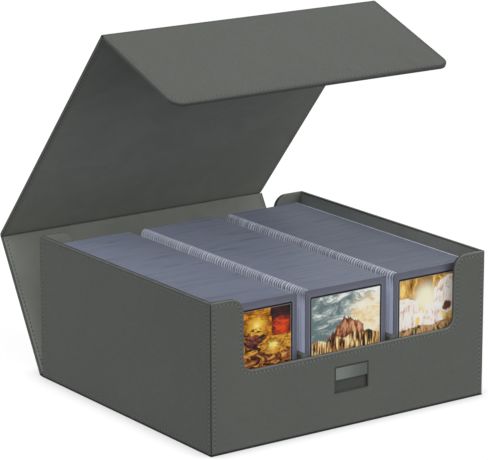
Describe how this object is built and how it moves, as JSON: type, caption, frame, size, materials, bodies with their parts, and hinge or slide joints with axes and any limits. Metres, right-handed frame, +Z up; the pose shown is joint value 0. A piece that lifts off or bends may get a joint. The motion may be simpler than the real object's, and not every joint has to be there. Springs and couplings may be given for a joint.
{
  "type": "card storage case",
  "caption": "Lined card case: an open tray with a window front and back, and a wrap-around lid folding on three leatherette hinges, with rows of sleeved cards.",
  "frame": {"origin": "centre of the tray's flat underside, on the surface it stands on", "axes": "+X to the right along the front wall, -Y out of the front wall, +Z up"},
  "size_m": [0.242, 0.2836, 0.2751],
  "materials": {
    "leatherette": "fine-grained matte",
    "grey_board": "plain",
    "lining": "brushed microfibre",
    "magnet": "plated",
    "nameplate": "satin",
    "sleeve": "frosted",
    "card_warm": "coated",
    "card_cool": "coated",
    "card_pale": "coated"
  },
  "bodies": {
    "tray": {"base_skin": "leatherette", "base_board": "grey_board", "base_fold_strip": "leatherette", "floor_skin": "leatherette", "floor_board": "grey_board", "floor_lining": "lining", "front_wall_skin": "leatherette", "front_wall_board": "grey_board", "front_wall_lining": "lining", "back_wall_skin": "leatherette", "back_wall_board": "grey_board", "back_wall_lining": "lining", "left_wall_skin": "leatherette", "left_wall_board": "grey_board", "left_wall_lining": "lining", "right_wall_skin": "leatherette", "right_wall_board": "grey_board", "right_wall_lining": "lining", "finger_pull_liner": "leatherette", "nameplate": "nameplate", "tray_magnet_1": "magnet", "tray_magnet_2": "magnet", "tray_magnet_3": "magnet", "tray_magnet_4": "magnet", "divider_skin_left": "leatherette", "divider_board_left": "grey_board", "divider_skin_right": "leatherette", "divider_board_right": "grey_board", "sleeved_cards_left": "sleeve", "sleeved_cards_centre": "sleeve", "sleeved_cards_right": "sleeve", "front_sleeve_left": "sleeve", "front_sleeve_centre": "sleeve", "front_sleeve_right": "sleeve", "front_card_left": "card_warm", "front_card_centre": "card_cool", "front_card_right": "card_pale"},
    "rear_panel": {"rear_panel_skin": "leatherette", "rear_panel_board": "grey_board", "rear_panel_lining": "lining", "rear_fold_strip": "leatherette"},
    "top_panel": {"top_panel_skin": "leatherette", "top_panel_board": "grey_board", "top_panel_lining": "lining"},
    "front_flap": {"front_flap_skin": "leatherette", "front_flap_board": "grey_board", "front_flap_lining": "lining", "flap_fold_strip": "leatherette", "flap_magnet_1": "magnet", "flap_magnet_2": "magnet", "flap_magnet_3": "magnet", "flap_magnet_4": "magnet"}
  },
  "joints": [
    {"name": "base_fold", "type": "hinge", "parent": "tray", "child": "rear_panel", "pos_m": [0, 0.1158, 0], "axis": [1, 0, 0], "range_deg": [-60.65, 29.35]},
    {"name": "rear_fold", "type": "hinge", "parent": "rear_panel", "child": "top_panel", "pos_m": [0, 0.17123, 0.09858], "axis": [1, 0, 0], "range_deg": [-69.65, 20.35]},
    {"name": "flap_fold", "type": "hinge", "parent": "top_panel", "child": "front_flap", "pos_m": [0, 0.02144, 0.27522], "axis": [1, 0, 0], "range_deg": [-70.14, 19.86]}
  ]
}
